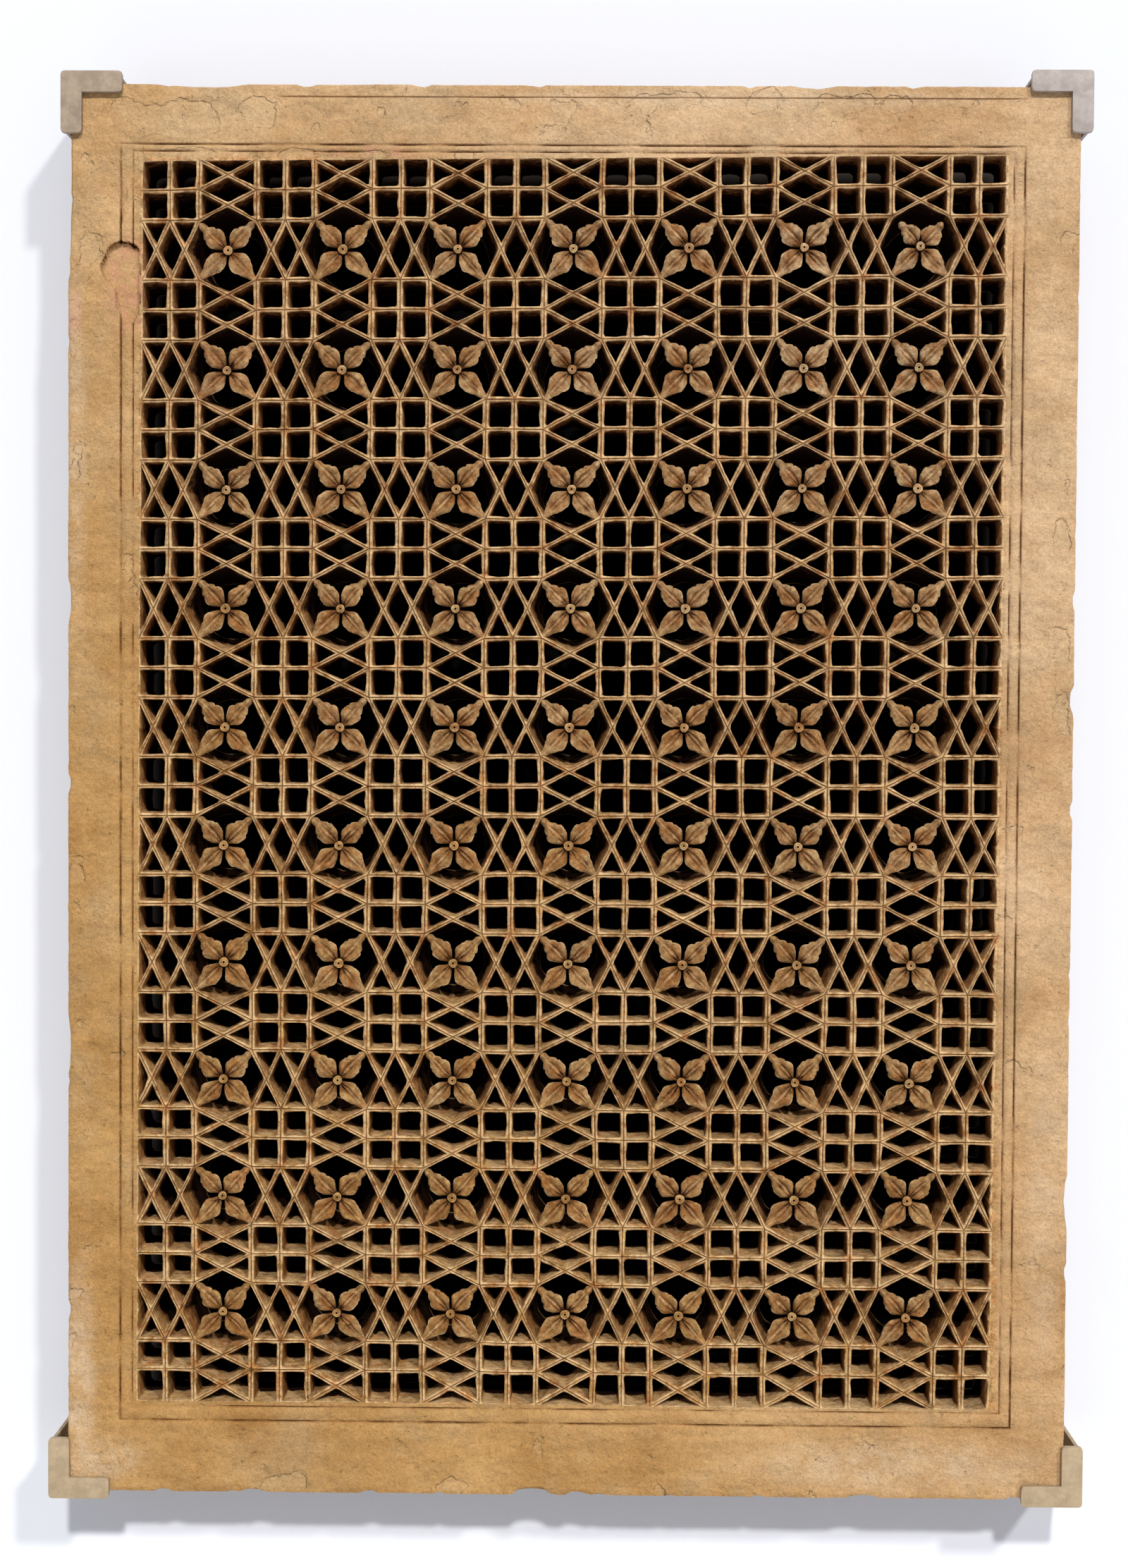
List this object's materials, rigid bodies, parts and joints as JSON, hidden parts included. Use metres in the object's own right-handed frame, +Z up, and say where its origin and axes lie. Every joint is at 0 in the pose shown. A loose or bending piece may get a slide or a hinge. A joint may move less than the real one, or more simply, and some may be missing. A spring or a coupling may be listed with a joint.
{
  "type": "carved fretwork grille",
  "caption": "Pierced sandstone grille with a plain moulded frame, a fret of square, diamond and flower cells, held off a wall by painted metal corner clips.",
  "frame": {"origin": "on the wall plane, behind the middle of the slab, between the four clip pads", "axes": "+Z up, -Y out of the wall towards the viewer, +X to the viewer's right"},
  "size_m": [1.3475, 0.1493, 1.8539],
  "materials": {
    "sandstone": "weathered tan sandstone, matt and grainy",
    "clip_paint": "matt stone-coloured paint, slightly mottled"
  },
  "bodies": {
    "root": {"fret_slab_upper": "sandstone", "fret_slab_lower": "sandstone", "clip_top_left": "clip_paint", "clip_top_right": "clip_paint", "clip_bottom_left": "clip_paint", "clip_bottom_right": "clip_paint"}
  },
  "joints": []
}
